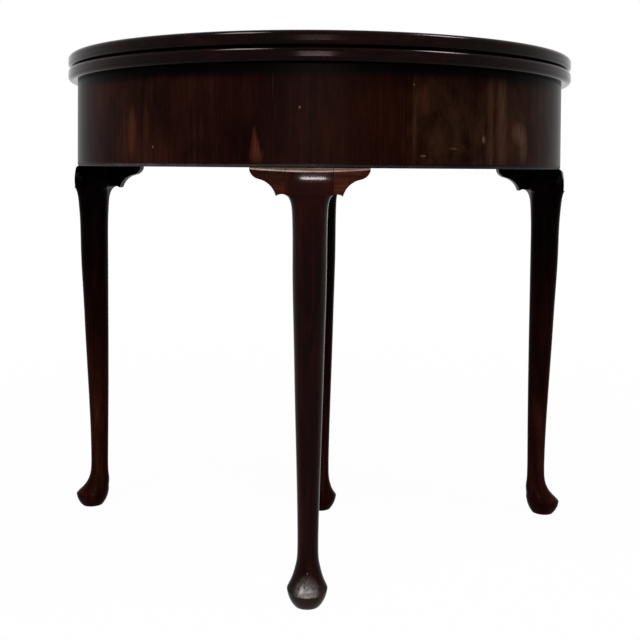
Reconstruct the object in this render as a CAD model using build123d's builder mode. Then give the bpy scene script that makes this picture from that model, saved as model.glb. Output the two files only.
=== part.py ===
from build123d import *
import math
import os

os.makedirs("parts", exist_ok=True)

# Driving sizes of the half-round card table, in mm. X runs along the straight back,
# the round front faces -Y, and the feet stand on Z = 0.
top_radius = 407.0
table_height = 735.0
leaf_thickness = 20.0
leaf_edge_radius = 7.0
leaf_gap = 0.3

# The round frame under the leaves
leaf_overhang = 14.5
back_overhang = 2.0
frieze_height = 132.0
core_thickness = 22.0
veneer_thickness = 2.0
bead_height = 5.5
bead_depth = 5.0
veneer_sheets = 5

# Legs: a square block under the frieze, a turned shaft and a pad foot
block_side = 60.0
leg_set_in = 20.0
gate_leg_x = 7.0
shaft_radius = 22.0
ankle_offset = 11.5
foot_radius = 26.2
foot_height = 60.0
foot_base_radius = 17.0
rim_tilt = 5.5
knee_projection = 7.0
knee_face_radius = 280.0
knee_block_height = 34.7
shoulder_height = 104.0

# Ears beside the knees
ear_thickness = 30.0
ear_length = 47.0
ear_drop = 35.7
ear_cusp = 12.3
ear_tip_drop = 2.7
ear_cusp_lift = 1.6

# Straight rails at the back, and the knuckle joint that the gate swings on
inner_rail_thickness = 24.0
fly_rail_thickness = 26.0
gate_gap = 0.6
gate_top_gap = 0.4
hinge_rail_length = 92.5
knuckle_count = 5
knuckle_clearance = 0.3
gate_pin_radius = 4.0
pin_clearance = 0.05

# Joinery inside the frame
tenon_thickness = 9.0
tenon_length = 22.0
tenon_shoulder = 14.0
peg_radius = 3.5
peg_inset = 10.0
medial_rail_width = 22.0
medial_rail_height = 50.0
medial_tenon = 12.0
glue_block_length = 40.0
glue_block_depth = 20.0
glue_block_height = 30.0
glue_blocks_per_side = 3
top_screw_radius = 2.0
top_screw_head_radius = 4.0
top_screw_head_height = 2.5
top_screw_bite = 10.0
rail_screw_radius = 2.2
rail_screw_head_radius = 4.4
rail_screw_length = 40.0

# Brass double-pin hinges of the folding leaf
hinge_inset = 20.0
hinge_pin_inset = 3.5
hinge_pin_radius = 1.25
strap_width = 11.0
strap_length = 36.0
strap_thickness = 2.4
link_width = 3.6
link_clearance = 0.3
hinge_screw_radius = 1.6
hinge_screw_head_radius = 3.1
hinge_screw_length = 12.0
hinge_screws_per_strap = 3

overrun = 5.0

# Outline of an ear, as shares of its length and of the drop below its tip
ear_tip_shares = ((0.905, 0.235), (0.77, 0.345))
ear_sweep_shares = ((0.655, 0.39), (0.42, 0.60))

# Shoulder sections: height below the block as a share of the shoulder, then the outer,
# inner and side reach and the corner radius as shares of half the block
shoulder_shares = (
    (0.00, 0.830, 1.000, 1.000, 0.13),
    (0.0375, 0.825, 0.900, 0.880, 0.37),
    (0.1275, 0.810, 0.830, 0.790, 0.57),
    (0.27, 0.775, 0.800, 0.755, 0.65),
    (0.48, 0.730, 0.785, 0.742, 0.70),
)

# Shaft sections from the top: height as a share of the shaft, offset as a share of the
# ankle offset (outward is positive), and radius as a share of the shaft radius
shaft_shares = (
    (1.000, -0.15, 1.000),
    (0.772, -0.38, 0.909),
    (0.651, -0.50, 0.864),
    (0.404, -0.75, 0.755),
    (0.096, -0.97, 0.630),
    (0.055, -0.98, 0.622),
)

# Corner radius of the turned sections, as a share of half their width
roundness = 0.98

# Foot sections from the ankle down to the rim: height as a share of the foot, offset as
# a share of the ankle offset, radius as a share of the foot radius, share of the tilt
foot_shares = (
    (1.03, -0.98, 0.530, 0.0),
    (0.867, -0.95, 0.562, 0.1),
    (0.733, -0.88, 0.630, 0.25),
    (0.580, -0.64, 0.737, 0.5),
    (0.455, -0.28, 0.870, 0.8),
    (0.355, 0.0, 1.0, 1.0),
)

# The pad below the rim: its height and radius halfway down, as shares of the rim's
pad_middle_shares = (0.50, 0.90)

# Levels and radii that follow from the driving sizes
centre_y = top_radius / 2
upper_face = table_height - leaf_thickness
lower_face = upper_face - leaf_gap
under_leaf = lower_face - leaf_thickness
frieze_bottom = under_leaf - frieze_height
frieze_radius = top_radius - leaf_overhang
core_radius = frieze_radius - veneer_thickness
inner_radius = core_radius - core_thickness
frame_back = -back_overhang
half_block = block_side / 2
leg_reach = frieze_radius - leg_set_in
back_leg_y = frame_back - half_block
stile_face = leg_reach - half_block
block_bottom = frieze_bottom - knee_block_height
shoulder_bottom = block_bottom - shoulder_height
gate_pivot_x = hinge_rail_length - stile_face

plan = Plane((0, centre_y, 0))


def spot(x, y, z=0, turn=0):
    """A level plane at a place measured from the middle of the straight back edge."""
    return Plane(plan.location * Location((x, y, z), (0, 0, turn)))


def upright(x, y, z, across, facing):
    """An upright plane at a place measured from the middle of the straight back edge."""
    return Plane(spot(x, y, z).origin, x_dir=across, z_dir=facing)


def save(part, name):
    """Labels one piece and writes it."""
    part.label = name
    export_step(part, "parts/" + name + ".step")


# Hinge places: each leaf has two, near the ends of its straight edge
hinge_places = (hinge_inset - top_radius, top_radius - hinge_inset)
screw_span = strap_length - 3 * hinge_pin_inset
screw_step = screw_span / (hinge_screws_per_strap + 1)
screw_ys = []
for place in range(hinge_screws_per_strap):
    screw_ys.append(-strap_length + screw_step * (place + 1))
knuckle_length = 2 * hinge_pin_inset + link_clearance
link_end_radius = hinge_pin_inset - link_clearance
slot_width = link_width + 2 * link_clearance

# Glue blocks and the screws through them are spread round the frieze
block_angles = []
for place in range(glue_blocks_per_side):
    step_angle = 90 / (glue_blocks_per_side + 1)
    block_angles.append(180 + step_angle * (place + 1))
    block_angles.append(360 - step_angle * (place + 1))
block_ring = inner_radius - glue_block_depth / 2
block_places = []
for angle in block_angles:
    turn = math.radians(angle)
    block_places.append((block_ring * math.cos(turn), block_ring * math.sin(turn)))


# Leaves: half discs with a rounded edge, rebated for the hinge straps
def leaf(face, outer, up, screw_places=()):
    """A half-round leaf between its playing face and its outer face."""
    low = min(face, outer)
    with BuildPart() as part:
        with BuildSketch(upright(0, 0, low, (1, 0, 0), (0, -1, 0))):
            with Locations((top_radius / 2, leaf_thickness / 2)):
                Rectangle(top_radius, leaf_thickness)
            rim = vertices().group_by(Axis.X)[-1]
            fillet(rim, leaf_edge_radius)
        revolve(axis=Axis(spot(0, 0).origin, (0, 0, 1)), revolution_arc=-180)
        arris = part.edges().filter_by(Axis.X).group_by(Axis.Y)[-1]
        arris = arris.sort_by(lambda edge: abs(edge.center().Z - face))[0]
        fillet(arris, hinge_pin_inset)
        for x in hinge_places:
            with BuildSketch(spot(x, -strap_length / 2, face)):
                Rectangle(strap_width, strap_length)
            extrude(amount=-up * strap_thickness, mode=Mode.SUBTRACT)
            with BuildSketch(spot(x, -knuckle_length / 2, face)):
                Rectangle(strap_width, knuckle_length)
            extrude(amount=-up * 2 * hinge_pin_inset, mode=Mode.SUBTRACT)
            with BuildSketch(spot(x, 0, face)):
                with Locations([(0, y) for y in screw_ys]):
                    Circle(hinge_screw_radius)
            extrude(amount=-up * hinge_screw_length, mode=Mode.SUBTRACT)
        if screw_places:
            with BuildSketch(spot(0, 0, outer)):
                with Locations(screw_places):
                    Circle(top_screw_radius)
            extrude(amount=up * top_screw_bite, mode=Mode.SUBTRACT)
    return part


top_leaf = leaf(upper_face, table_height, -1)
save(top_leaf.part, "top_leaf")

lower_leaf = leaf(lower_face, under_leaf, 1, block_places)
save(lower_leaf.part, "lower_leaf")


# Hinges: in each leaf a strap with a forked end, a pin through the fork, and one link
def hinge_strap(x, face, up):
    """A strap let into a playing face, its fork rounded about the pin."""
    pin_level = face - up * hinge_pin_inset
    with BuildPart() as part:
        with BuildSketch(spot(x, -strap_length / 2, face)):
            Rectangle(strap_width, strap_length)
        extrude(amount=-up * strap_thickness)
        with BuildSketch(spot(x, -knuckle_length / 2, face)):
            Rectangle(strap_width, knuckle_length)
        extrude(amount=-up * 2 * hinge_pin_inset)
        arris = part.edges().filter_by(Axis.X).group_by(Axis.Y)[-1]
        arris = arris.sort_by(lambda edge: abs(edge.center().Z - face))[0]
        fillet(arris, hinge_pin_inset)
        with BuildSketch(spot(x, -knuckle_length / 2, face)):
            Rectangle(slot_width, knuckle_length)
        extrude(amount=-up * 2 * hinge_pin_inset, mode=Mode.SUBTRACT)
        with BuildSketch(upright(x, -hinge_pin_inset, pin_level, (0, 1, 0), (1, 0, 0))):
            Circle(hinge_pin_radius)
        extrude(amount=strap_width, both=True, mode=Mode.SUBTRACT)
        tops = [spot(x, y, face - up * strap_thickness) for y in screw_ys]
        for top in tops:
            with BuildSketch(top):
                Circle(hinge_screw_radius)
            with BuildSketch(top.offset(up * strap_thickness)):
                Circle(hinge_screw_head_radius)
            loft(mode=Mode.SUBTRACT)
    return part


def hinge_screw_set(face, up):
    """Countersunk screws of both straps in one leaf."""
    with BuildPart() as part:
        for x in hinge_places:
            for y in screw_ys:
                base = spot(x, y, face - up * strap_thickness)
                with BuildSketch(base):
                    Circle(hinge_screw_radius)
                with BuildSketch(base.offset(up * strap_thickness)):
                    Circle(hinge_screw_head_radius)
                loft()
                with BuildSketch(base):
                    Circle(hinge_screw_radius)
                extrude(amount=-up * (hinge_screw_length - strap_thickness))
    return part


def hinge_pin_set(level):
    """The pins through both forks in one leaf."""
    with BuildPart() as part:
        for x in hinge_places:
            with BuildSketch(upright(x, -hinge_pin_inset, level, (0, 1, 0), (1, 0, 0))):
                Circle(hinge_pin_radius)
            extrude(amount=strap_width / 2, both=True)
    return part


for side, x in zip(("left", "right"), hinge_places):
    save(hinge_strap(x, upper_face, -1).part, "upper_hinge_strap_" + side)
    save(hinge_strap(x, lower_face, 1).part, "lower_hinge_strap_" + side)

upper_pin_level = upper_face + hinge_pin_inset
lower_pin_level = lower_face - hinge_pin_inset
save(hinge_screw_set(upper_face, -1).part, "upper_hinge_screws")
save(hinge_screw_set(lower_face, 1).part, "lower_hinge_screws")
save(hinge_pin_set(upper_pin_level).part, "upper_hinge_pins")
save(hinge_pin_set(lower_pin_level).part, "lower_hinge_pins")

pin_distance = upper_pin_level - lower_pin_level
pin_middle = (upper_pin_level + lower_pin_level) / 2
for side, x in zip(("left", "right"), hinge_places):
    with BuildPart() as hinge_link:
        with BuildSketch(upright(x, -hinge_pin_inset, pin_middle, (0, 1, 0), (1, 0, 0))):
            SlotCenterToCenter(pin_distance, 2 * link_end_radius, rotation=90)
            with Locations((0, pin_distance / 2), (0, -pin_distance / 2)):
                Circle(hinge_pin_radius + pin_clearance, mode=Mode.SUBTRACT)
        extrude(amount=link_width / 2, both=True)
    save(hinge_link.part, "hinge_link_" + side)


# Frieze: a curved core each side, faced with upright veneer sheets over a small bead
def quarter(sketch_radius, hole_radius, side):
    """A quarter ring on the current sketch, to the left (-1) or right (1)."""
    Circle(sketch_radius)
    Circle(hole_radius, mode=Mode.SUBTRACT)
    span = top_radius - back_overhang
    with Locations((side * span / 2, frame_back - span / 2)):
        Rectangle(span, span, mode=Mode.INTERSECT)


for side, hand in (("left", -1), ("right", 1)):
    with BuildPart() as frieze_core:
        with BuildSketch(spot(0, 0, frieze_bottom)):
            quarter(frieze_radius - bead_depth, inner_radius, hand)
        extrude(amount=bead_height)
        with BuildSketch(spot(0, 0, frieze_bottom + bead_height)):
            quarter(core_radius, inner_radius, hand)
        extrude(amount=frieze_height - bead_height)
    save(frieze_core.part, "frieze_core_" + side)

    with BuildPart() as bead:
        with BuildSketch(spot(0, 0, frieze_bottom)):
            quarter(frieze_radius, frieze_radius - bead_depth, hand)
        extrude(amount=bead_height)
        outer = bead.edges().filter_by(GeomType.CIRCLE).sort_by(SortBy.RADIUS)[-2:]
        chamfer(outer.sort_by(Axis.Z)[0], bead_height / 3)
    save(bead.part, "frieze_bead_" + side)

    with BuildPart() as veneer:
        with BuildSketch(spot(0, 0, frieze_bottom + bead_height)):
            quarter(frieze_radius, core_radius, hand)
        extrude(amount=frieze_height - bead_height)
        for sheet in range(1, veneer_sheets):
            lean = math.radians(270 + hand * sheet * 90 / veneer_sheets)
            cut_normal = (-math.sin(lean), math.cos(lean), 0)
            split(bisect_by=Plane(spot(0, 0).origin, z_dir=cut_normal), keep=Keep.BOTH)
    save(veneer.part, "frieze_veneer_" + side)


# Knees and ears share one rounded face, cut off by a sloping band under the frieze edge
def knee_cuts(centre):
    """The rings to be cut away in front of a knee: the rounded face, then the band."""
    rho = knee_face_radius
    drawn_in = knee_projection / 3
    cut_bottom = block_bottom - overrun
    low = (rho - drawn_in / 3, cut_bottom)
    high = (rho - drawn_in, frieze_bottom)
    beyond = rho + ear_length
    with BuildPart() as face_cut:
        with BuildSketch(Plane((*centre, 0), x_dir=(1, 0, 0), z_dir=(0, -1, 0))):
            with BuildLine():
                Polyline(high, (beyond, frieze_bottom), (beyond, cut_bottom), low)
                ThreePointArc(low, (rho, (cut_bottom + frieze_bottom) / 2), high)
            make_face()
        revolve(axis=Axis((*centre, 0), (0, 0, 1)))
    band_edge = frieze_radius + ear_length
    band_foot = frieze_bottom - ear_length
    with BuildPart() as band_cut:
        with BuildSketch(upright(0, 0, 0, (1, 0, 0), (0, -1, 0))):
            with BuildLine():
                Polyline(
                    (frieze_radius, frieze_bottom),
                    (band_edge, frieze_bottom),
                    (band_edge, band_foot),
                    close=True,
                )
            make_face()
        revolve(axis=Axis(spot(0, 0).origin, (0, 0, 1)))
    return face_cut.part, band_cut.part


def face_centre(x, y):
    """Where the axis of the rounded knee face stands for a leg at a place."""
    reach = math.hypot(x, y)
    share = (frieze_radius + knee_projection - knee_face_radius) / reach
    return (x * share, centre_y + y * share)


def leg_form(base, top, cuts, outward):
    """The knee block, the shoulder, the turned shaft and the pad foot on a floor plane."""
    rim_height = foot_height * foot_shares[-1][0]
    shaft_length = shoulder_bottom - foot_height
    with BuildPart() as part:
        with BuildSketch(base.offset(block_bottom)):
            with Locations(((outward - half_block) / 2, 0)):
                Rectangle(outward + half_block, block_side)
        extrude(amount=top - block_bottom)
        for cut in cuts:
            add(cut, mode=Mode.SUBTRACT)
        for drop_share, outer_share, inner_share, side_share, corner_share in shoulder_shares:
            outer = half_block * outer_share
            inner = half_block * inner_share
            with BuildSketch(base.offset(block_bottom - shoulder_height * drop_share)):
                with Locations(((outer - inner) / 2, 0)):
                    RectangleRounded(
                        outer + inner, block_side * side_share, half_block * corner_share
                    )
        for height_share, offset_share, radius_share in shaft_shares:
            height = foot_height + shaft_length * height_share
            place = (ankle_offset * offset_share, 0, height)
            radius = shaft_radius * radius_share
            with BuildSketch(Plane(base.location * Location(place))):
                RectangleRounded(2 * radius, 2 * radius, radius * roundness)
        for height_share, offset_share, radius_share, tilt_share in foot_shares:
            place = (ankle_offset * offset_share, 0, foot_height * height_share)
            tilt = (0, rim_tilt * tilt_share, 0)
            radius = foot_radius * radius_share
            with BuildSketch(Plane(base.location * Location(place, tilt))):
                RectangleRounded(2 * radius, 2 * radius, radius * roundness)
        loft()
        height_share, radius_share = pad_middle_shares
        pad = (
            (0, foot_base_radius, 0),
            (rim_height * height_share, foot_radius * radius_share, rim_tilt / 2),
            (rim_height, foot_radius, rim_tilt),
        )
        for height, radius, tilt in pad:
            with BuildSketch(Plane(base.location * Location((0, 0, height), (0, tilt, 0)))):
                RectangleRounded(2 * radius, 2 * radius, radius * roundness)
        loft()
    return part.part


knee_reach = half_block + 2 * knee_projection
leg_places = (
    ("front_leg", 0, -leg_reach, -90),
    ("left_leg", -leg_reach, back_leg_y, 180),
    ("right_leg", leg_reach, back_leg_y, 0),
)
inner_rail_y = frame_back - fly_rail_thickness - gate_gap
tenon_height = frieze_height - 2 * tenon_shoulder
tenon_y = inner_rail_y - inner_rail_thickness / 2
peg_levels = (
    frieze_bottom + frieze_height / 3,
    frieze_bottom + frieze_height * 2 / 3,
)
for name, x, y, turn in leg_places:
    base = spot(x, y, 0, turn)
    form = leg_form(base, frieze_bottom, knee_cuts(face_centre(x, y)), knee_reach)
    with BuildPart() as leg:
        add(form)
        with BuildSketch(spot(0, 0, frieze_bottom)):
            Circle(inner_radius)
            with Locations((x, y)):
                Rectangle(block_side, block_side, mode=Mode.INTERSECT)
        extrude(amount=frieze_height)
        if name == "front_leg":
            with BuildSketch(spot(0, -stile_face, under_leaf)):
                Rectangle(tenon_thickness, 2 * medial_tenon)
            extrude(amount=-medial_rail_height, mode=Mode.SUBTRACT)
        else:
            hand = -1 if x < 0 else 1
            with BuildSketch(spot(hand * stile_face, tenon_y, frieze_bottom + tenon_shoulder)):
                Rectangle(2 * tenon_length, tenon_thickness)
            extrude(amount=tenon_height, mode=Mode.SUBTRACT)
            peg_x = hand * (stile_face + peg_inset)
            for level in peg_levels:
                with BuildSketch(upright(peg_x, frame_back, level, (1, 0, 0), (0, -1, 0))):
                    Circle(peg_radius)
                extrude(amount=fly_rail_thickness + inner_rail_thickness, mode=Mode.SUBTRACT)
    save(leg.part, name)

# Gate leg: the same leg, with a stile as thin as the fly rail that it hangs on
gate_top = under_leaf - gate_top_gap
stile_height = gate_top - frieze_bottom
fly_y = frame_back - fly_rail_thickness / 2
gate_base = spot(gate_leg_x, back_leg_y, 0, 90)
gate_edge = gate_leg_x - half_block
gate_peg_x = gate_edge + peg_inset
form = leg_form(gate_base, frieze_bottom - gate_gap, (), half_block)
with BuildPart() as gate_leg:
    add(form)
    with BuildSketch(spot(gate_leg_x, fly_y, frieze_bottom - gate_gap)):
        Rectangle(block_side, fly_rail_thickness)
    extrude(amount=stile_height + gate_gap)
    with BuildSketch(spot(gate_edge, fly_y, frieze_bottom + tenon_shoulder)):
        Rectangle(2 * tenon_length, tenon_thickness)
    extrude(amount=tenon_height, mode=Mode.SUBTRACT)
    for level in peg_levels:
        with BuildSketch(upright(gate_peg_x, frame_back, level, (1, 0, 0), (0, -1, 0))):
            Circle(peg_radius)
        extrude(amount=fly_rail_thickness, mode=Mode.SUBTRACT)
save(gate_leg.part, "gate_leg")


# Ears: shaped brackets glued beside the knees
def ear_plate(plane, length, drop, cusp, thickness):
    """An ear drawn from the joint outward, hanging from the plane's origin."""
    reach = drop - ear_tip_drop
    tip = [(length * a, -ear_tip_drop - reach * b) for a, b in ear_tip_shares]
    sweep = [(length * a, -ear_tip_drop - reach * b) for a, b in ear_sweep_shares]
    inner = (0, ear_cusp_lift - drop)
    with BuildPart() as part:
        with BuildSketch(plane):
            with BuildLine():
                Polyline(inner, (0, 0), (length, 0), (length, -ear_tip_drop))
                ThreePointArc((length, -ear_tip_drop), *tip)
                Line(tip[1], sweep[0])
                ThreePointArc(*sweep, (cusp, -drop))
                ThreePointArc((cusp, -drop), (cusp / 2, ear_cusp_lift * 1.5 - drop), inner)
            make_face()
        extrude(amount=thickness / 2, both=True)
    return part.part


front_ears = (
    ("front_ear_left", 0, -leg_reach, -half_block, 0, (-1, 0, 0), (0, 1, 0)),
    ("front_ear_right", 0, -leg_reach, half_block, 0, (1, 0, 0), (0, -1, 0)),
    ("side_ear_left", -leg_reach, back_leg_y, 0, -half_block, (0, -1, 0), (-1, 0, 0)),
    ("side_ear_right", leg_reach, back_leg_y, 0, -half_block, (0, -1, 0), (-1, 0, 0)),
)
ear_middle = leg_set_in + 2 * knee_projection - ear_thickness / 2
for name, x, y, along_x, along_y, across, facing in front_ears:
    reach = math.hypot(x, y)
    start_x = x + along_x + ear_middle * round(x / reach)
    start_y = y + along_y + ear_middle * round(y / reach)
    plane = upright(start_x, start_y, frieze_bottom, across, facing)
    plate = ear_plate(plane, ear_length, ear_drop, ear_cusp, ear_thickness)
    cuts = knee_cuts(face_centre(x, y))
    with BuildPart() as ear:
        add(plate)
        for cut in cuts:
            add(cut, mode=Mode.SUBTRACT)
    save(ear.part, name)

for side, hand in (("left", -1), ("right", 1)):
    plane = upright(hand * stile_face, fly_y, frieze_bottom, (-hand, 0, 0), (0, hand, 0))
    sizes = (ear_length, ear_drop, ear_cusp, fly_rail_thickness)
    save(ear_plate(plane, *sizes), "back_ear_" + side)


# Back rails: an inner rail tenoned into the side legs, pegged from behind
rail_screw_x = (gate_pivot_x - stile_face) / 2
rail_screw_places = [(rail_screw_x, level) for level in peg_levels]
head_depth = rail_screw_head_radius - rail_screw_radius
with BuildPart() as inner_rail:
    with BuildSketch(spot(0, tenon_y, frieze_bottom)):
        Rectangle(2 * stile_face, inner_rail_thickness)
    extrude(amount=frieze_height)
    with BuildSketch(spot(0, tenon_y, frieze_bottom + tenon_shoulder)):
        Rectangle(2 * (stile_face + tenon_length), tenon_thickness)
    extrude(amount=tenon_height)
    with BuildSketch(spot(0, inner_rail_y - inner_rail_thickness, under_leaf)):
        Rectangle(tenon_thickness, 2 * medial_tenon)
    extrude(amount=-medial_rail_height, mode=Mode.SUBTRACT)
    peg_x = stile_face + peg_inset
    with BuildSketch(upright(0, inner_rail_y, 0, (1, 0, 0), (0, -1, 0))):
        with Locations([(hand * peg_x, level) for hand in (-1, 1) for level in peg_levels]):
            Circle(peg_radius)
    extrude(amount=inner_rail_thickness, mode=Mode.SUBTRACT)
    with BuildSketch(upright(0, frame_back, 0, (1, 0, 0), (0, -1, 0))):
        with Locations(rail_screw_places):
            Circle(rail_screw_radius)
    extrude(amount=rail_screw_length, mode=Mode.SUBTRACT)
save(inner_rail.part, "inner_back_rail")

with BuildPart() as rail_pegs:
    with BuildSketch(upright(0, frame_back, 0, (1, 0, 0), (0, -1, 0))):
        with Locations([(hand * peg_x, level) for hand in (-1, 1) for level in peg_levels]):
            Circle(peg_radius)
    extrude(amount=fly_rail_thickness + inner_rail_thickness)
save(rail_pegs.part, "rail_pegs")

# Knuckle joint: fingers of both rails round an iron pin, between bevelled shoulders
knuckle_radius = fly_rail_thickness / 2
finger_pitch = frieze_height / knuckle_count


def knuckle_rail(length, hand, first, top):
    """One rail of the joint with its fingers, every second one from the first level."""
    cove_radius = knuckle_radius + knuckle_clearance
    height = top - frieze_bottom
    bevel = [
        (hand * cove_radius, -knuckle_radius),
        (hand * knuckle_clearance, 0),
        (hand * cove_radius, knuckle_radius),
    ]
    rail_ends = ((hand * length, knuckle_radius), (hand * length, -knuckle_radius))
    root = cove_radius + knuckle_clearance
    finger_ends = ((hand * root, knuckle_radius), (hand * root, -knuckle_radius))
    with BuildPart() as part:
        with BuildSketch(spot(gate_pivot_x, fly_y, frieze_bottom)):
            with BuildLine():
                Polyline(*bevel, *rail_ends, close=True)
            make_face()
            Circle(cove_radius, mode=Mode.SUBTRACT)
        extrude(amount=height)
        for level in range(first, knuckle_count, 2):
            low = finger_pitch * level + (knuckle_clearance / 2 if level else 0)
            high = min(finger_pitch * (level + 1) - knuckle_clearance / 2, height)
            with BuildSketch(spot(gate_pivot_x, fly_y, frieze_bottom + low)):
                with BuildLine():
                    Polyline(*bevel, *finger_ends, close=True)
                make_face()
                Circle(knuckle_radius)
            extrude(amount=high - low)
        with BuildSketch(spot(gate_pivot_x, fly_y, frieze_bottom)):
            Circle(gate_pin_radius + pin_clearance)
        extrude(amount=height, mode=Mode.SUBTRACT)
    return part.part


knuckles = knuckle_rail(gate_pivot_x + stile_face, -1, 0, under_leaf)
with BuildPart() as hinge_rail:
    add(knuckles)
    pad_length = gate_pivot_x + stile_face - 2 * knuckle_radius
    with BuildSketch(
        spot(pad_length / 2 - stile_face, inner_rail_y + gate_gap / 2, frieze_bottom)
    ):
        Rectangle(pad_length, gate_gap)
    extrude(amount=frieze_height)
    for x, level in rail_screw_places:
        with BuildSketch(upright(x, frame_back, level, (1, 0, 0), (0, -1, 0))):
            Circle(rail_screw_radius)
        extrude(amount=fly_rail_thickness + gate_gap, mode=Mode.SUBTRACT)
        with BuildSketch(upright(x, frame_back, level, (1, 0, 0), (0, -1, 0))):
            Circle(rail_screw_head_radius)
        with BuildSketch(upright(x, frame_back - head_depth, level, (1, 0, 0), (0, -1, 0))):
            Circle(rail_screw_radius)
        loft(mode=Mode.SUBTRACT)
save(hinge_rail.part, "hinge_rail")

with BuildPart() as rail_screws:
    for x, level in rail_screw_places:
        with BuildSketch(upright(x, frame_back, level, (1, 0, 0), (0, -1, 0))):
            Circle(rail_screw_radius)
        extrude(amount=rail_screw_length)
        with BuildSketch(upright(x, frame_back, level, (1, 0, 0), (0, -1, 0))):
            Circle(rail_screw_head_radius)
        with BuildSketch(upright(x, frame_back - head_depth, level, (1, 0, 0), (0, -1, 0))):
            Circle(rail_screw_radius)
        loft()
save(rail_screws.part, "rail_screws")

knuckles = knuckle_rail(gate_edge - gate_pivot_x, 1, 1, gate_top)
with BuildPart() as fly_rail:
    add(knuckles)
    with BuildSketch(spot(gate_edge, fly_y, frieze_bottom + tenon_shoulder)):
        Rectangle(2 * tenon_length, tenon_thickness)
    extrude(amount=tenon_height)
    for level in peg_levels:
        with BuildSketch(upright(gate_peg_x, frame_back, level, (1, 0, 0), (0, -1, 0))):
            Circle(peg_radius)
        extrude(amount=fly_rail_thickness, mode=Mode.SUBTRACT)
save(fly_rail.part, "fly_rail")

with BuildPart() as gate_pegs:
    for level in peg_levels:
        with BuildSketch(upright(gate_peg_x, frame_back, level, (1, 0, 0), (0, -1, 0))):
            Circle(peg_radius)
        extrude(amount=fly_rail_thickness)
save(gate_pegs.part, "gate_pegs")

with BuildPart() as gate_pin:
    with BuildSketch(spot(gate_pivot_x, fly_y, frieze_bottom)):
        Circle(gate_pin_radius)
    extrude(amount=frieze_height)
save(gate_pin.part, "gate_pin")

# Medial rail from the inner back rail to the front leg's stile
medial_front = -stile_face
medial_back = inner_rail_y - inner_rail_thickness
medial_length = medial_back - medial_front
medial_y = (medial_back + medial_front) / 2
with BuildPart() as medial_rail:
    with BuildSketch(spot(0, medial_y, under_leaf)):
        Rectangle(medial_rail_width, medial_length)
        Rectangle(tenon_thickness, medial_length + 2 * medial_tenon)
    extrude(amount=-medial_rail_height)
save(medial_rail.part, "medial_rail")

# Glue blocks round the frieze, and a screw up through each into the lower leaf
with BuildPart() as glue_blocks:
    with BuildSketch(spot(0, 0, under_leaf)):
        for angle, (x, y) in zip(block_angles, block_places):
            with Locations(Location((x, y, 0), (0, 0, angle))):
                Rectangle(2 * glue_block_depth, glue_block_length)
        Circle(inner_radius, mode=Mode.INTERSECT)
        Circle(inner_radius - glue_block_depth, mode=Mode.SUBTRACT)
    extrude(amount=-glue_block_height)
    with BuildSketch(spot(0, 0, under_leaf)):
        with Locations(block_places):
            Circle(top_screw_radius)
    extrude(amount=-glue_block_height, mode=Mode.SUBTRACT)
save(glue_blocks.part, "glue_blocks")

with BuildPart() as top_screws:
    screw_base = under_leaf - glue_block_height
    with BuildSketch(spot(0, 0, screw_base)):
        with Locations(block_places):
            Circle(top_screw_radius)
    extrude(amount=glue_block_height + top_screw_bite)
    with BuildSketch(spot(0, 0, screw_base)):
        with Locations(block_places):
            Circle(top_screw_head_radius)
    extrude(amount=-top_screw_head_height)
save(top_screws.part, "top_screws")
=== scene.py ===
import math

import bpy
from mathutils import Matrix, Vector


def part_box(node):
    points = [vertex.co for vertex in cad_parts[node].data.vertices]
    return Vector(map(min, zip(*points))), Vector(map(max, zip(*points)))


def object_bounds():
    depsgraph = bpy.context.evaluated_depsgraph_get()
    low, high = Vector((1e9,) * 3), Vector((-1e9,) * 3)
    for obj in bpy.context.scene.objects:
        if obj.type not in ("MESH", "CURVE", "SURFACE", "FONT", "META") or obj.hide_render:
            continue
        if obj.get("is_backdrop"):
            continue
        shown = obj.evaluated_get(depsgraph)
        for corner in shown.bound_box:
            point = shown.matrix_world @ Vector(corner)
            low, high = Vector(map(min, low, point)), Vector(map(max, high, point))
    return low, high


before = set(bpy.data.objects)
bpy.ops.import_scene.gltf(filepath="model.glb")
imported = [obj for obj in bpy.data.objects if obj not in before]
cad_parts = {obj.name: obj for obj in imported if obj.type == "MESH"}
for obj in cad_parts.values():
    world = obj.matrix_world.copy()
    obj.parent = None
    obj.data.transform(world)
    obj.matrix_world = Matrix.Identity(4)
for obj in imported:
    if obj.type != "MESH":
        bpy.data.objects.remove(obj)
low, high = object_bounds()

# Places in metres, from the frame. The straight back edge of the table is at y = BACK
BACK = high[1]
BEAD_LOW, BEAD_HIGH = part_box("frieze_bead_left")
VENEER_LOW, VENEER_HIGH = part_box("frieze_veneer_left")
FRONT_LEG_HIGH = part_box("front_leg")[1]
FRIEZE_BOTTOM = BEAD_LOW.z
BEAD_TOP = BEAD_HIGH.z
FRIEZE_TOP = VENEER_HIGH.z
FRIEZE_RADIUS = BACK - VENEER_LOW.y
HALF_BLOCK = FRONT_LEG_HIGH.x
FRONT_LEG_Y = FRONT_LEG_HIGH.y - HALF_BLOCK

# How much the old shellac reflects straight on. Less than real shellac does, so that the white
# surroundings don't veil the dark wood
OLD_POLISH = 0.025
LEAF_POLISH = 0.056
FRIEZE_POLISH = 0.013
FRONT_POLISH = 0.044
WORN_POLISH = 0.008
POLISH_TINT = (1.0, 0.80, 0.74, 1)
CLEAR_TINT = (1.0, 0.95, 0.93, 1)

# Places of the two colours among a Mix node's sockets
MIX_COLOUR_A = 6
MIX_COLOUR_B = 7
MIX_RESULT = 2


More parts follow.
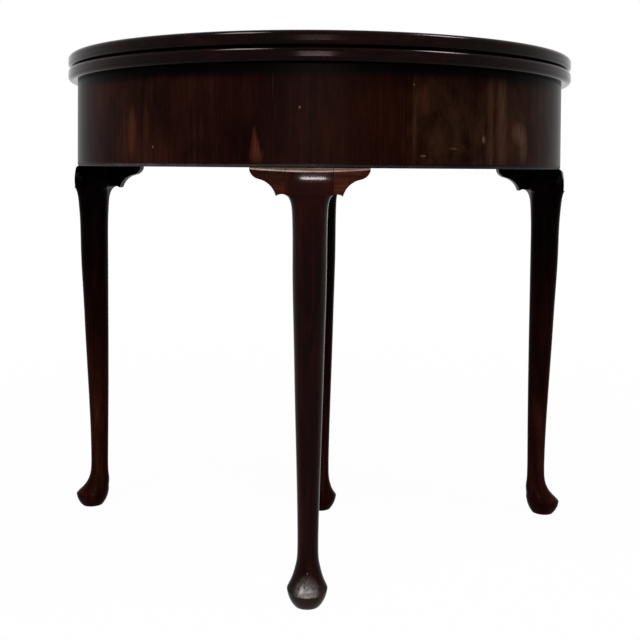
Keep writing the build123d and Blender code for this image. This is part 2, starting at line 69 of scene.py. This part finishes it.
# Materials
class Nodes:
    """A short way to build a node tree. The place on the table is x, y and z."""

    def __init__(self, name):
        self.material = bpy.data.materials.new(name)
        self.material.use_nodes = True
        self.tree = self.material.node_tree
        self.shader = self.tree.nodes["Principled BSDF"]
        self.coords = self.tree.nodes.new("ShaderNodeTexCoord").outputs["Object"]
        split = self.add("SeparateXYZ", {"Vector": self.coords})
        self.x, self.y, self.z = (split.outputs[axis] for axis in "XYZ")

    def add(self, kind, inputs=None, **props):
        node = self.tree.nodes.new("ShaderNode" + kind)
        for key, value in props.items():
            setattr(node, key, value)
        for key, value in (inputs or {}).items():
            self.set(node.inputs[key], value)
        return node

    def set(self, socket, value):
        if isinstance(value, bpy.types.NodeSocket):
            self.tree.links.new(value, socket)
        else:
            socket.default_value = value

    def paint(self, colour):
        self.set(self.shader.inputs["Base Color"], colour)

    def math(self, operation, a, b=0.0):
        return self.add("Math", {0: a, 1: b}, operation=operation).outputs[0]

    def times(self, a, b):
        return self.math("MULTIPLY", a, b)

    def size_of(self, a):
        return self.math("ABSOLUTE", a)

    def stretch(self, scale, source=None):
        return self.add("Mapping", {"Vector": source or self.coords, "Scale": scale}).outputs[0]

    def join(self, x, y, z):
        return self.add("CombineXYZ", {"X": x, "Y": y, "Z": z}).outputs[0]

    def noise(self, vector, scale, detail=4.0, rough=0.55, distortion=0.0):
        inputs = {
            "Vector": vector,
            "Scale": scale,
            "Detail": detail,
            "Roughness": rough,
            "Distortion": distortion,
        }
        return self.add("TexNoise", inputs).outputs["Fac"]

    def ramp(self, value, stops, interpolation="LINEAR"):
        """Colours along a value, from (place, colour) stops."""
        node = self.add("ValToRGB", {"Fac": value})
        node.color_ramp.interpolation = interpolation
        steps = node.color_ramp.elements
        while len(steps) < len(stops):
            steps.new(1.0)
        for step, (place, colour) in zip(steps, stops):
            step.position = place
            step.color = (*colour, 1)
        return node.outputs["Color"]

    def levels(self, value, low_in, high_in, low_out=0.0, high_out=1.0):
        """A value carried from one range to another, and held at its ends."""
        inputs = {
            "Value": value,
            "From Min": low_in,
            "From Max": high_in,
            "To Min": low_out,
            "To Max": high_out,
        }
        return self.add("MapRange", inputs).outputs["Result"]

    def mix(self, fac, a, b, blend="MIX"):
        node = self.add("Mix", {"Factor": fac}, data_type="RGBA", blend_type=blend)
        self.set(node.inputs[MIX_COLOUR_A], a)
        self.set(node.inputs[MIX_COLOUR_B], b)
        return node.outputs[MIX_RESULT]

    def shade(self, colour, amount):
        """A colour times a plain number."""
        grey = self.add("CombineColor", {"Red": amount, "Green": amount, "Blue": amount}).outputs[0]
        return self.mix(1.0, colour, grey, "MULTIPLY")

    def bump(self, height, distance, strength):
        inputs = {"Height": height, "Distance": distance, "Strength": strength}
        self.set(self.shader.inputs["Normal"], self.add("Bump", inputs).outputs["Normal"])


# Wood: its grain, its pores and its broad unevenness. A name that ends in LEVELS holds the range
# that a value is carried from and then the one that it is carried to, which is 0 to 1 where it
# is left out. A name that ends in FROM holds only the first. Places and distances are in metres
FINE_ACROSS = 14
LONG_ALONG = 1.2
GRAIN = {"scale": 6.0, "detail": 6.0, "rough": 0.6, "distortion": 0.6}
GRAIN_STOPS = (0.30, 0.52, 0.78)
PORE_STRETCH = (5, 5, 5)
PORES = {"scale": 14.0, "detail": 2.0, "rough": 0.5}
PORE_LEVELS = (0.30, 0.46, 0.60, 1.0)
PORE_DEPTH = 0.00005
PORE_STRENGTH = 0.10
BROAD = {"scale": 7.0, "detail": 3.0, "rough": 0.5}
BROAD_LEVELS = (0.32, 0.70, 0.55, 1.30)
GLOSS_FROM = (0.3, 0.7)
GLOSS_SPREAD = 0.06


def upright_place(n):
    """A place in upright grain."""
    return n.stretch((FINE_ACROSS, FINE_ACROSS, LONG_ALONG))


def long_place(n):
    """A place in grain that runs from side to side."""
    return n.stretch((LONG_ALONG, FINE_ACROSS, FINE_ACROSS))


def lay_wood(n, place, tones):
    """Grain and pores on a place that is stretched along the grain."""
    pores = n.noise(n.stretch(PORE_STRETCH, place), **PORES)
    n.bump(pores, PORE_DEPTH, PORE_STRENGTH)
    colour = n.ramp(n.noise(place, **GRAIN), tuple(zip(GRAIN_STOPS, tones)))
    colour = n.shade(colour, n.levels(n.noise(n.coords, **BROAD), *BROAD_LEVELS))
    return n.shade(colour, n.levels(pores, *PORE_LEVELS))


def lay_polish(n, roughness, polish, tint=POLISH_TINT):
    n.set(n.shader.inputs["Roughness"], roughness)
    n.shader.inputs["Specular IOR Level"].default_value = polish
    n.shader.inputs["Specular Tint"].default_value = tint


def uneven(n, gloss):
    """A roughness that wanders a little, as on old polish."""
    return n.levels(n.noise(n.coords, **BROAD), *GLOSS_FROM, gloss, gloss + GLOSS_SPREAD)


LEAF_TONES = (
    (0.0008, 0.0001, 0.0001),
    (0.0022, 0.0003, 0.0003),
    (0.0075, 0.0016, 0.0012),
)
LEAF_GLOSS = 0.08


def leaf_wood():
    n = Nodes("leaf mahogany")
    lay_polish(n, uneven(n, LEAF_GLOSS), LEAF_POLISH)
    n.paint(lay_wood(n, long_place(n), LEAF_TONES))
    return n.material


BEAD_TONES = (
    (0.018, 0.012, 0.010),
    (0.038, 0.027, 0.023),
    (0.062, 0.047, 0.041),
)
BEAD_GLOSS = 0.35
BEAD_PAINTED_END_SHADE_LEVELS = (0.26, 0.34, 1.0, 0.10)
BEAD_SIDE_LEVELS = (-0.12, 0.06, 0.95, 0.40)
BEAD_DARK = 0.0010
BEAD_CLEAR = 0.0027
BEAD_JOINT_SHADE = 0.12


def bead_wood():
    """A thin grey-brown strip, darker to the right and just under the veneer, with painted shade at
    its ends.
    """
    n = Nodes("bead")
    lay_polish(n, uneven(n, BEAD_GLOSS), OLD_POLISH)
    colour = lay_wood(n, long_place(n), BEAD_TONES)
    # Painted shade: darker toward the ends, where the strip turns away from the light
    colour = n.shade(colour, n.levels(n.size_of(n.x), *BEAD_PAINTED_END_SHADE_LEVELS))
    colour = n.shade(colour, n.levels(n.x, *BEAD_SIDE_LEVELS))
    joint_low = BEAD_TOP - BEAD_CLEAR
    joint_high = BEAD_TOP - BEAD_DARK
    n.paint(n.shade(colour, n.levels(n.z, joint_low, joint_high, 1.0, BEAD_JOINT_SHADE)))
    return n.material


# Marks on the frieze: what each is, degrees round it from the front, height above its bottom,
# half a width in degrees, half a height, colour and strength
RED_WOOD = (0.066, 0.018, 0.009, 1)
BROWN_WOOD = (0.046, 0.021, 0.0115, 1)
PALE_WOOD = (0.080, 0.042, 0.026, 1)
FRIEZE_MARKS = (
    ("red streak", -38.6, 0.0473, 1.3, 0.032, RED_WOOD, 0.38),
    ("red streak", -34.5, 0.0543, 0.8, 0.030, RED_WOOD, 0.16),
    ("red flame, low", -10.0, 0.0153, 1.3, 0.012, RED_WOOD, 0.32),
    ("red flame, middle", -10.2, 0.0263, 0.9, 0.012, RED_WOOD, 0.30),
    ("red flame, high", -10.4, 0.0373, 0.5, 0.014, RED_WOOD, 0.27),
    ("brown strip", 19.8, 0.0623, 0.6, 0.070, BROWN_WOOD, 0.18),
    ("red patch", 21.5, 0.0893, 1.6, 0.020, RED_WOOD, 0.25),
    ("pale strip", 37.4, 0.0593, 0.8, 0.120, PALE_WOOD, 0.13),
    ("pale strip", 40.6, 0.0573, 1.5, 0.120, PALE_WOOD, 0.22),
    ("brown patch", 46.5, 0.0483, 2.6, 0.016, PALE_WOOD, 0.38),
    ("brown patch", 48.0, 0.0303, 1.6, 0.022, PALE_WOOD, 0.26),
    ("oval knock", 35.6, 0.0393, 0.5, 0.0055, PALE_WOOD, 0.7),
    ("scratch", 21.6, 0.0163, 0.6, 0.0016, PALE_WOOD, 0.6),
    ("scratch", 28.1, 0.0263, 0.9, 0.0018, PALE_WOOD, 0.4),
    ("pale joint", -6.9, 0.1093, 0.14, 0.020, PALE_WOOD, 0.10),
    ("speck", -1.9, 0.0763, 0.20, 0.0018, PALE_WOOD, 1.0),
    ("speck", 19.6, 0.1073, 0.22, 0.0016, PALE_WOOD, 0.7),
    ("speck", -32.6, 0.0263, 0.24, 0.0018, PALE_WOOD, 1.0),
)

# The tone of each upright sheet, from the left end of the frieze to the right
SHEET_TONES = (
    (0.95, 0.95, 0.95),
    (1.00, 1.05, 1.05),
    (1.35, 1.65, 1.85),
    (1.15, 1.35, 1.60),
    (0.90, 0.85, 0.95),
    (0.80, 0.70, 0.55),
    (0.85, 0.90, 0.75),
    (1.05, 1.15, 1.00),
    (0.95, 1.05, 1.05),
    (0.90, 1.00, 1.00),
)
SHEET = math.pi / len(SHEET_TONES)

VENEER_TONES = (
    (0.0052, 0.0010, 0.0006),
    (0.0078, 0.0016, 0.0008),
    (0.0132, 0.0034, 0.0019),
)

# The polish is dull round the middle of the frieze and less worn toward its ends
DULL_TURN = math.radians(45)
BRIGHT_TURN = math.radians(72)
DULL_GLOSS = 0.45
BRIGHT_GLOSS = 0.26

# Grain on the veneer: how fine it is across and along, and how far it is moved on each sheet
VENEER_ACROSS = 42.0
VENEER_ALONG = 2.2
SHEET_SHIFT = 9.0

# Slow light and dark, and the right half, which has faded in patches
CLOUD_ACROSS = 9.0
CLOUD_ALONG = 5.0
CLOUDS = {"scale": 2.6, "detail": 5.0, "rough": 0.62}
CLOUD_LEVELS = (0.36, 0.66, 0.60, 1.40)
MOTTLE = {"scale": 4.0, "detail": 6.0, "rough": 0.68}
MOTTLE_LEVELS = (0.40, 0.74)
FADE_START = math.radians(17)
FADE_FULL = math.radians(22)
FADE_AMOUNT = 0.30

# Marks: streaks along the grain within them, their ragged outline, and how far from its middle a
# mark is gone and is full, as the square of a share of its half width or height
STREAKS = {"scale": 9.0, "detail": 5.0, "rough": 0.7}
STREAK_LEVELS = (0.36, 0.62, 0.35, 1.35)
RAGS = {"scale": 16.0, "detail": 3.0}
RAG_MIDDLE = 0.5
RAG_REACH = 1.2
MARK_GONE = 1.4
MARK_FULL = 0.1

# A dark joint between the sheets, and a painted shadow of the leaf's overhang under the leaf. A
# name that ends in DARK or CLEAR is how far from the joint or the leaf it is darkest or gone
JOINT_DARK = 0.0003
JOINT_CLEAR = 0.0012
JOINT_SHADE = 0.55
PAINTED_SHADOW_DARK = 0.0085
PAINTED_SHADOW_CLEAR = 0.0175
PAINTED_SHADOW_SHADE = 0.04


def sheet_tint(n, turn):
    share = n.levels(turn, -math.pi / 2, math.pi / 2)
    stops = [(i / len(SHEET_TONES), tone) for i, tone in enumerate(SHEET_TONES)]
    return n.ramp(share, stops, "CONSTANT")


def lay_clouds(n, colour, turn, along, own):
    """Slow light and dark over each sheet, and the faded patches on the right."""
    place = n.join(n.times(along, CLOUD_ACROSS), own, n.times(n.z, CLOUD_ALONG))
    colour = n.shade(colour, n.levels(n.noise(place, **CLOUDS), *CLOUD_LEVELS))
    mottle = n.levels(n.noise(place, **MOTTLE), *MOTTLE_LEVELS)
    right_side = n.levels(turn, FADE_START, FADE_FULL)
    return n.mix(n.times(n.times(mottle, right_side), FADE_AMOUNT), colour, BROWN_WOOD)


def lay_marks(n, colour, turn, place):
    """Ovals with ragged edges, streaked along the grain."""
    streaky = n.levels(n.noise(place, **STREAKS), *STREAK_LEVELS)
    ragged = n.times(n.math("SUBTRACT", n.noise(place, **RAGS), RAG_MIDDLE), RAG_REACH)
    for _, degrees, height, half_width, half_height, tone, amount in FRIEZE_MARKS:
        aside = n.math("SUBTRACT", turn, math.radians(degrees))
        aside = n.math("DIVIDE", aside, math.radians(half_width))
        above = n.math("SUBTRACT", n.z, FRIEZE_BOTTOM + height)
        above = n.math("DIVIDE", above, half_height)
        away = n.math("ADD", n.math("POWER", aside, 2.0), n.math("POWER", above, 2.0))
        inside = n.levels(n.math("ADD", away, ragged), MARK_GONE, MARK_FULL, 0.0, amount)
        colour = n.mix(n.times(inside, streaky), colour, tone)
    return colour


def frieze_veneer():
    """Upright sheets of veneer round the frieze, each of its own tone, with joints, marks and a
    painted shadow under the leaf.
    """
    n = Nodes("frieze veneer")
    turn = n.math("ARCTAN2", n.x, n.math("SUBTRACT", BACK, n.y))
    along = n.times(turn, FRIEZE_RADIUS)
    steps = n.math("DIVIDE", turn, SHEET)
    sheet = n.math("FLOOR", steps)
    own = n.add("TexWhiteNoise", {"W": sheet}, noise_dimensions="1D").outputs["Value"]
    across = n.math("ADD", n.times(along, VENEER_ACROSS), n.times(own, SHEET_SHIFT))
    place = n.join(across, own, n.times(n.z, VENEER_ALONG))
    roughness = n.levels(n.size_of(turn), DULL_TURN, BRIGHT_TURN, DULL_GLOSS, BRIGHT_GLOSS)
    lay_polish(n, roughness, FRIEZE_POLISH)
    colour = lay_wood(n, place, VENEER_TONES)
    colour = n.mix(1.0, colour, sheet_tint(n, turn), "MULTIPLY")
    colour = lay_clouds(n, colour, turn, along, own)
    colour = lay_marks(n, colour, turn, place)
    joint = n.times(n.math("PINGPONG", steps, 0.5), SHEET * FRIEZE_RADIUS)
    colour = n.shade(colour, n.levels(joint, JOINT_DARK, JOINT_CLEAR, JOINT_SHADE, 1.0))
    # Painted shadow of the leaf's overhang, darkest just under the leaf
    shadow_low = FRIEZE_TOP - PAINTED_SHADOW_CLEAR
    shadow_high = FRIEZE_TOP - PAINTED_SHADOW_DARK
    n.paint(n.shade(colour, n.levels(n.z, shadow_low, shadow_high, 1.0, PAINTED_SHADOW_SHADE)))
    return n.material


# The band over the front knee. Its foot is a curve that rises by ARRIS_RISE times x squared
# Painted light: the band is partly worn pale and partly a painted sheen, and its arris has a
# painted glint
RUBBED_AND_SHEEN_WOOD = (0.075, 0.050, 0.041, 1)
ARRIS_GLINT_WOOD = (0.25, 0.195, 0.175, 1)
ARRIS_DROP = 0.0047
ARRIS_RISE = 0.53
ARRIS_MIDDLE = 0.0002
ARRIS_BRIGHT = 0.0004
ARRIS_FADED = 0.0012
BAND_SOFT_BELOW = 0.0006
BAND_SOFT_ABOVE = 0.0004
BAND_STRETCH = (6, 6, 40)
BAND_SCALE = 9.0
BAND_WEAR_AND_SHEEN_LEVELS = (0.3, 0.7, 0.45, 0.90)
ARRIS_GLINT_LEVELS = (0.015, 0.050, 1.0, 0.40)


def band_wear_sheen_and_glint(n, colour):
    """The sloping band over the front knee, worn pale and with a painted sheen. The painted glint
    on the arris at its foot fades to the right."""
    arris = FRIEZE_BOTTOM - ARRIS_DROP
    above = n.math("SUBTRACT", n.z, n.times(n.math("POWER", n.x, 2.0), ARRIS_RISE))
    wear = n.levels(n.noise(n.stretch(BAND_STRETCH), BAND_SCALE), *BAND_WEAR_AND_SHEEN_LEVELS)
    band = n.times(n.levels(above, arris - BAND_SOFT_BELOW, arris + BAND_SOFT_ABOVE), wear)
    colour = n.mix(band, colour, RUBBED_AND_SHEEN_WOOD)
    wear = n.times(wear, n.levels(n.x, *ARRIS_GLINT_LEVELS))
    away = n.size_of(n.math("SUBTRACT", above, arris + ARRIS_MIDDLE))
    bright = n.times(n.levels(away, ARRIS_BRIGHT, ARRIS_FADED, 1.0, 0.0), wear)
    return n.mix(bright, colour, ARRIS_GLINT_WOOD)


# The front foot. Its rim is FOOT_RIM high under the leg's axis, and lower toward the toe
FOOT_RIM = 0.0213
RIM_SLOPE = math.tan(math.radians(5.5))
TOE_HIGHLIGHT_WOOD = (0.172, 0.158, 0.151, 1)
UNDERSIDE_WOOD = (0.024, 0.013, 0.009, 1)
HIGHLIGHT_STREAK_STRETCH = (60, 60, 6)
HIGHLIGHT_STREAKS = {"scale": 5.0, "detail": 5.0, "rough": 0.7}
HIGHLIGHT_STREAK_LEVELS = (0.35, 0.65, 0.15, 1.0)
TOE_FORWARD_LEVELS = (0.007, 0.020)
TOE_HEIGHT_LEVELS = (0.006, 0.032, 1.0, 0.0)
TOE_SIDE_LEVELS = (0.004, 0.017, 1.0, 0.10)
RIM_LEVELS = (-0.0006, 0.0002)
UNDERSIDE_LEVELS = (-0.0008, -0.0002, 0.65, 0.0)


def toe_highlight_and_underside(n, colour):
    """The front toe: a painted highlight in grey streaks on its front above the rim, and a browner
    underside.
    """
    forward = n.math("SUBTRACT", FRONT_LEG_Y, n.y)
    above = n.math("ADD", n.math("SUBTRACT", n.z, FOOT_RIM), n.times(forward, RIM_SLOPE))
    # Painted highlight: grey streaks on the front of the toe, narrow to the sides and fading up
    # from the rim
    streaks = n.levels(n.noise(n.stretch(HIGHLIGHT_STREAK_STRETCH), **HIGHLIGHT_STREAKS), *HIGHLIGHT_STREAK_LEVELS)
    toe = n.times(n.levels(forward, *TOE_FORWARD_LEVELS), n.levels(above, *TOE_HEIGHT_LEVELS))
    toe = n.times(toe, n.levels(n.size_of(n.x), *TOE_SIDE_LEVELS))
    highlight = n.times(n.times(toe, streaks), n.levels(above, *RIM_LEVELS))
    colour = n.mix(highlight, colour, TOE_HIGHLIGHT_WOOD)
    return n.mix(n.levels(above, *UNDERSIDE_LEVELS), colour, UNDERSIDE_WOOD)


FRONT_LEG_TONES = (
    (0.0019, 0.0002, 0.0001),
    (0.0050, 0.0004, 0.0001),
    (0.0135, 0.0024, 0.0009),
)
FRONT_LEG_GLOSS = 0.06
KNEE_LEVELS = (0.48, 0.53, 1.0, 2.0)


def front_leg_wood():
    """Polished wood, twice as light at the knee, with its worn band, painted sheen and glint, and a
    painted highlight on the toe.
    """
    n = Nodes("front leg mahogany")
    lay_polish(n, uneven(n, FRONT_LEG_GLOSS), FRONT_POLISH, CLEAR_TINT)
    colour = lay_wood(n, upright_place(n), FRONT_LEG_TONES)
    colour = n.shade(colour, n.levels(n.z, *KNEE_LEVELS))
    n.paint(toe_highlight_and_underside(n, band_wear_sheen_and_glint(n, colour)))
    return n.material


FRONT_EAR_TONES = (
    (0.0075, 0.0014, 0.0008),
    (0.0225, 0.0045, 0.0023),
    (0.0540, 0.0140, 0.0064),
)
FRONT_EAR_GLOSS = 0.12
EAR_SIDE_LEVELS = (-0.05, 0.05, 0.75, 1.15)
GLUE_DARK = 0.0003
GLUE_CLEAR = 0.0010
GLUE_SHADE = 0.25


def front_ear_wood():
    """Redder wood, lighter to the right, with a dark joint where an ear meets the knee block."""
    n = Nodes("front ear mahogany")
    lay_polish(n, uneven(n, FRONT_EAR_GLOSS), FRONT_POLISH)
    colour = lay_wood(n, long_place(n), FRONT_EAR_TONES)
    # The ears' band and arris carry the same wear, painted sheen and painted glint
    colour = band_wear_sheen_and_glint(n, n.shade(colour, n.levels(n.x, *EAR_SIDE_LEVELS)))
    past_block = n.math("SUBTRACT", n.size_of(n.x), HALF_BLOCK)
    n.paint(n.shade(colour, n.levels(past_block, GLUE_DARK, GLUE_CLEAR, GLUE_SHADE, 1.0)))
    return n.material


BACK_LEG_TONES = (
    (0.0045, 0.0009, 0.0006),
    (0.0115, 0.0022, 0.0013),
    (0.0280, 0.0070, 0.0040),
)
BACK_LEG_GLOSS = 0.24
PAINTED_SHADE_LEVELS = (0.03, 0.46, 1.45, 0.06)
STILE_FADE = 0.03


def back_wood():
    """The side and gate legs and their ears, with painted shade that leaves them nearly black under
    the frieze and redder lower down.
    """
    n = Nodes("back leg mahogany")
    lay_polish(n, uneven(n, BACK_LEG_GLOSS), WORN_POLISH)
    colour = lay_wood(n, upright_place(n), BACK_LEG_TONES)
    # Painted shade by height: darkest under the frieze, lighter toward the floor
    painted_shade = n.levels(n.z, *PAINTED_SHADE_LEVELS)
    stile = n.levels(n.z, FRIEZE_BOTTOM, FRIEZE_BOTTOM + STILE_FADE)
    n.paint(n.shade(colour, n.math("MAXIMUM", painted_shade, stile)))
    return n.material


# Bare wood and metal
BARE_STRETCH = (1.0, 12, 12)
BARE_GRAIN = {"scale": 7.0, "detail": 6.0, "rough": 0.6, "distortion": 0.8}
BARE_STOPS = (0.32, 0.7)
BARE_ROUGHNESS = 0.7
BARE_DEPTH = 0.0006
BARE_STRENGTH = 0.4
METAL_WEAR = {"scale": 160.0, "detail": 3.0}
METAL_STOPS = (0.35, 0.65)
METAL_FROM = (0.3, 0.7)
METAL_DARKER = 0.7
METAL_ROUGHER = 0.15


def plain_wood(name, dark, light):
    """Bare oak or pine inside the frame."""
    n = Nodes(name)
    grain = n.noise(n.stretch(BARE_STRETCH), **BARE_GRAIN)
    n.paint(n.ramp(grain, tuple(zip(BARE_STOPS, (dark, light)))))
    n.shader.inputs["Roughness"].default_value = BARE_ROUGHNESS
    n.bump(grain, BARE_DEPTH, BARE_STRENGTH)
    return n.material


def metal(name, colour, rough):
    """Aged brass or dark iron."""
    n = Nodes(name)
    wear = n.noise(n.coords, **METAL_WEAR)
    worn = tuple(part * METAL_DARKER for part in colour)
    n.paint(n.ramp(wear, tuple(zip(METAL_STOPS, (worn, colour)))))
    n.shader.inputs["Metallic"].default_value = 1.0
    roughness = n.levels(wear, *METAL_FROM, rough, rough + METAL_ROUGHER)
    n.set(n.shader.inputs["Roughness"], roughness)
    return n.material


leaves = leaf_wood()
veneer = frieze_veneer()
bead = bead_wood()
front_leg = front_leg_wood()
front_ears = front_ear_wood()
back_legs = back_wood()
oak = plain_wood("oak", dark=(0.16, 0.09, 0.045), light=(0.30, 0.19, 0.10))
pine = plain_wood("pine", dark=(0.28, 0.17, 0.08), light=(0.46, 0.31, 0.16))
brass = metal("brass", colour=(0.46, 0.31, 0.13), rough=0.35)
iron = metal("iron", colour=(0.10, 0.09, 0.085), rough=0.5)

# The straps, links, pins and screws of the hinges are brass. Every other piece that isn't
# named here is of back leg mahogany
material_of = {
    "top_leaf": leaves,
    "lower_leaf": leaves,
    "front_leg": front_leg,
    "glue_blocks": pine,
    "inner_back_rail": oak,
    "hinge_rail": oak,
    "fly_rail": oak,
    "medial_rail": oak,
    "rail_pegs": oak,
    "gate_pegs": oak,
    "gate_pin": iron,
    "rail_screws": iron,
    "top_screws": iron,
}
for side in ("left", "right"):
    material_of["frieze_bead_" + side] = bead
    material_of["frieze_veneer_" + side] = veneer
    material_of["frieze_core_" + side] = pine
    material_of["front_ear_" + side] = front_ears
for name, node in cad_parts.items():
    usual = brass if "hinge_" in name else back_legs
    node.data.materials.clear()
    node.data.materials.append(material_of.get(name, usual))

# Floor: plain grey under the lights, and white where it is seen or mirrored. Close to the
# legs a small share of the grey shows, and keeps their shadow
FLOOR_REACH = 30.0
FLOOR_GREY = (0.4, 0.4, 0.4, 1)
FLOOR_ROUGHNESS = 0.9
SHADOW_REACH = 0.6
SHADOW_END = 2.2
SHADOW_WHITE = 0.98
WHITE = (1, 1, 1, 1)


def floor_paper():
    n = Nodes("floor")
    n.paint(FLOOR_GREY)
    n.shader.inputs["Roughness"].default_value = FLOOR_ROUGHNESS
    white = n.add("Emission", {"Color": WHITE, "Strength": 1.0}).outputs[0]
    position = n.add("NewGeometry").outputs["Position"]
    distance = n.add("VectorMath", {0: position}, operation="LENGTH").outputs["Value"]
    share = n.levels(distance, SHADOW_REACH, SHADOW_END, SHADOW_WHITE, 1.0)
    rays = n.add("LightPath")
    seen = n.math("MAXIMUM", rays.outputs["Is Camera Ray"], rays.outputs["Is Glossy Ray"])
    seen = n.math("MAXIMUM", seen, rays.outputs["Is Transmission Ray"])
    mixer = n.add("MixShader", {0: n.times(seen, share), 1: n.shader.outputs[0], 2: white})
    n.set(n.tree.nodes["Material Output"].inputs["Surface"], mixer.outputs[0])
    return n.material


floor_mesh = bpy.data.meshes.new("floor")
corners = [
    (-FLOOR_REACH, -FLOOR_REACH, 0),
    (FLOOR_REACH, -FLOOR_REACH, 0),
    (FLOOR_REACH, FLOOR_REACH, 0),
    (-FLOOR_REACH, FLOOR_REACH, 0),
]
floor_mesh.from_pydata(corners, [], [(0, 1, 2, 3)])
floor_mesh.materials.append(floor_paper())
floor = bpy.data.objects.new("floor", floor_mesh)
bpy.context.collection.objects.link(floor)
floor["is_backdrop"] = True

# World: white where it is seen or mirrored, soft grey as light
WORLD_LIGHT = 0.25
WORLD_SEEN = 1.0


def light_world():
    world = bpy.data.worlds.new("studio")
    bpy.context.scene.world = world
    world.use_nodes = True
    tree = world.node_tree
    tree.nodes.clear()
    rays = tree.nodes.new("ShaderNodeLightPath")
    seen = rays.outputs["Is Camera Ray"]
    for kind in ("Is Glossy Ray", "Is Transmission Ray"):
        either = tree.nodes.new("ShaderNodeMath")
        either.operation = "MAXIMUM"
        tree.links.new(seen, either.inputs[0])
        tree.links.new(rays.outputs[kind], either.inputs[1])
        seen = either.outputs[0]
    choose = tree.nodes.new("ShaderNodeMixShader")
    tree.links.new(seen, choose.inputs[0])
    for slot, strength in ((1, WORLD_LIGHT), (2, WORLD_SEEN)):
        light = tree.nodes.new("ShaderNodeBackground")
        light.inputs["Color"].default_value = WHITE
        light.inputs["Strength"].default_value = strength
        tree.links.new(light.outputs[0], choose.inputs[slot])
    out = tree.nodes.new("ShaderNodeOutputWorld")
    tree.links.new(choose.outputs[0], out.inputs["Surface"])


light_world()


def lamp(name, place, target, size, radiance):
    """A rectangular studio light, given by how bright its face is."""
    data = bpy.data.lights.new(name, "AREA")
    data.shape = "RECTANGLE"
    data.size, data.size_y = size
    data.energy = math.pi * size[0] * size[1] * radiance
    made = bpy.data.objects.new(name, data)
    made.location = place
    aim = Vector(target) - Vector(place)
    made.rotation_euler = aim.to_track_quat("-Z", "Y").to_euler()
    bpy.context.collection.objects.link(made)


# The ceiling lights streak the leaf edges, and the low one lights the front knee
lamp(
    "left ceiling light",
    place=(-0.98, -1.09, 2.52),
    target=(-0.08, -0.2, 0.72),
    size=(0.60, 0.60),
    radiance=62,
)
lamp(
    "right ceiling light",
    place=(1.42, -0.32, 2.52),
    target=(0.16, -0.17, 0.72),
    size=(0.52, 0.60),
    radiance=62,
)
lamp(
    "low front light",
    place=(0.0, -1.68, 0.80),
    target=(0, -0.2, 0.55),
    size=(0.38, 0.061),
    radiance=228,
)

# Camera, worked out from the outlines of the leaves, the frieze, the legs and the feet
IMAGE_PX = 640
FOCAL_PX = 929.0
HORIZON_PX = 184.5
SENSOR_MM = 36.0
CAMERA_ASIDE = 0.0471
CAMERA_AWAY = 1.5604
CAMERA_HEIGHT = 0.5653
YAW, PITCH, ROLL = -0.029, -0.02, 0.0075
camera_data = bpy.data.cameras.new("camera")
camera = bpy.data.objects.new("camera", camera_data)
bpy.context.collection.objects.link(camera)
camera_data.sensor_width = SENSOR_MM
camera_data.lens = FOCAL_PX / IMAGE_PX * SENSOR_MM
camera_data.shift_y = (HORIZON_PX - IMAGE_PX / 2) / IMAGE_PX
level = math.cos(PITCH)
forward = Vector((math.sin(YAW) * level, math.cos(YAW) * level, math.sin(PITCH)))
right = Vector((math.cos(YAW), -math.sin(YAW), 0))
up = right.cross(forward)
right_turned = math.cos(ROLL) * right + math.sin(ROLL) * up
up_turned = math.cos(ROLL) * up - math.sin(ROLL) * right
axes = Matrix((right_turned, up_turned, -forward)).transposed()
place = Vector((CAMERA_ASIDE, BACK - CAMERA_AWAY, CAMERA_HEIGHT))
camera.matrix_world = Matrix.Translation(place) @ axes.to_4x4()
bpy.context.scene.camera = camera
bpy.context.scene.view_settings.view_transform = "Standard"

low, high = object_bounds()
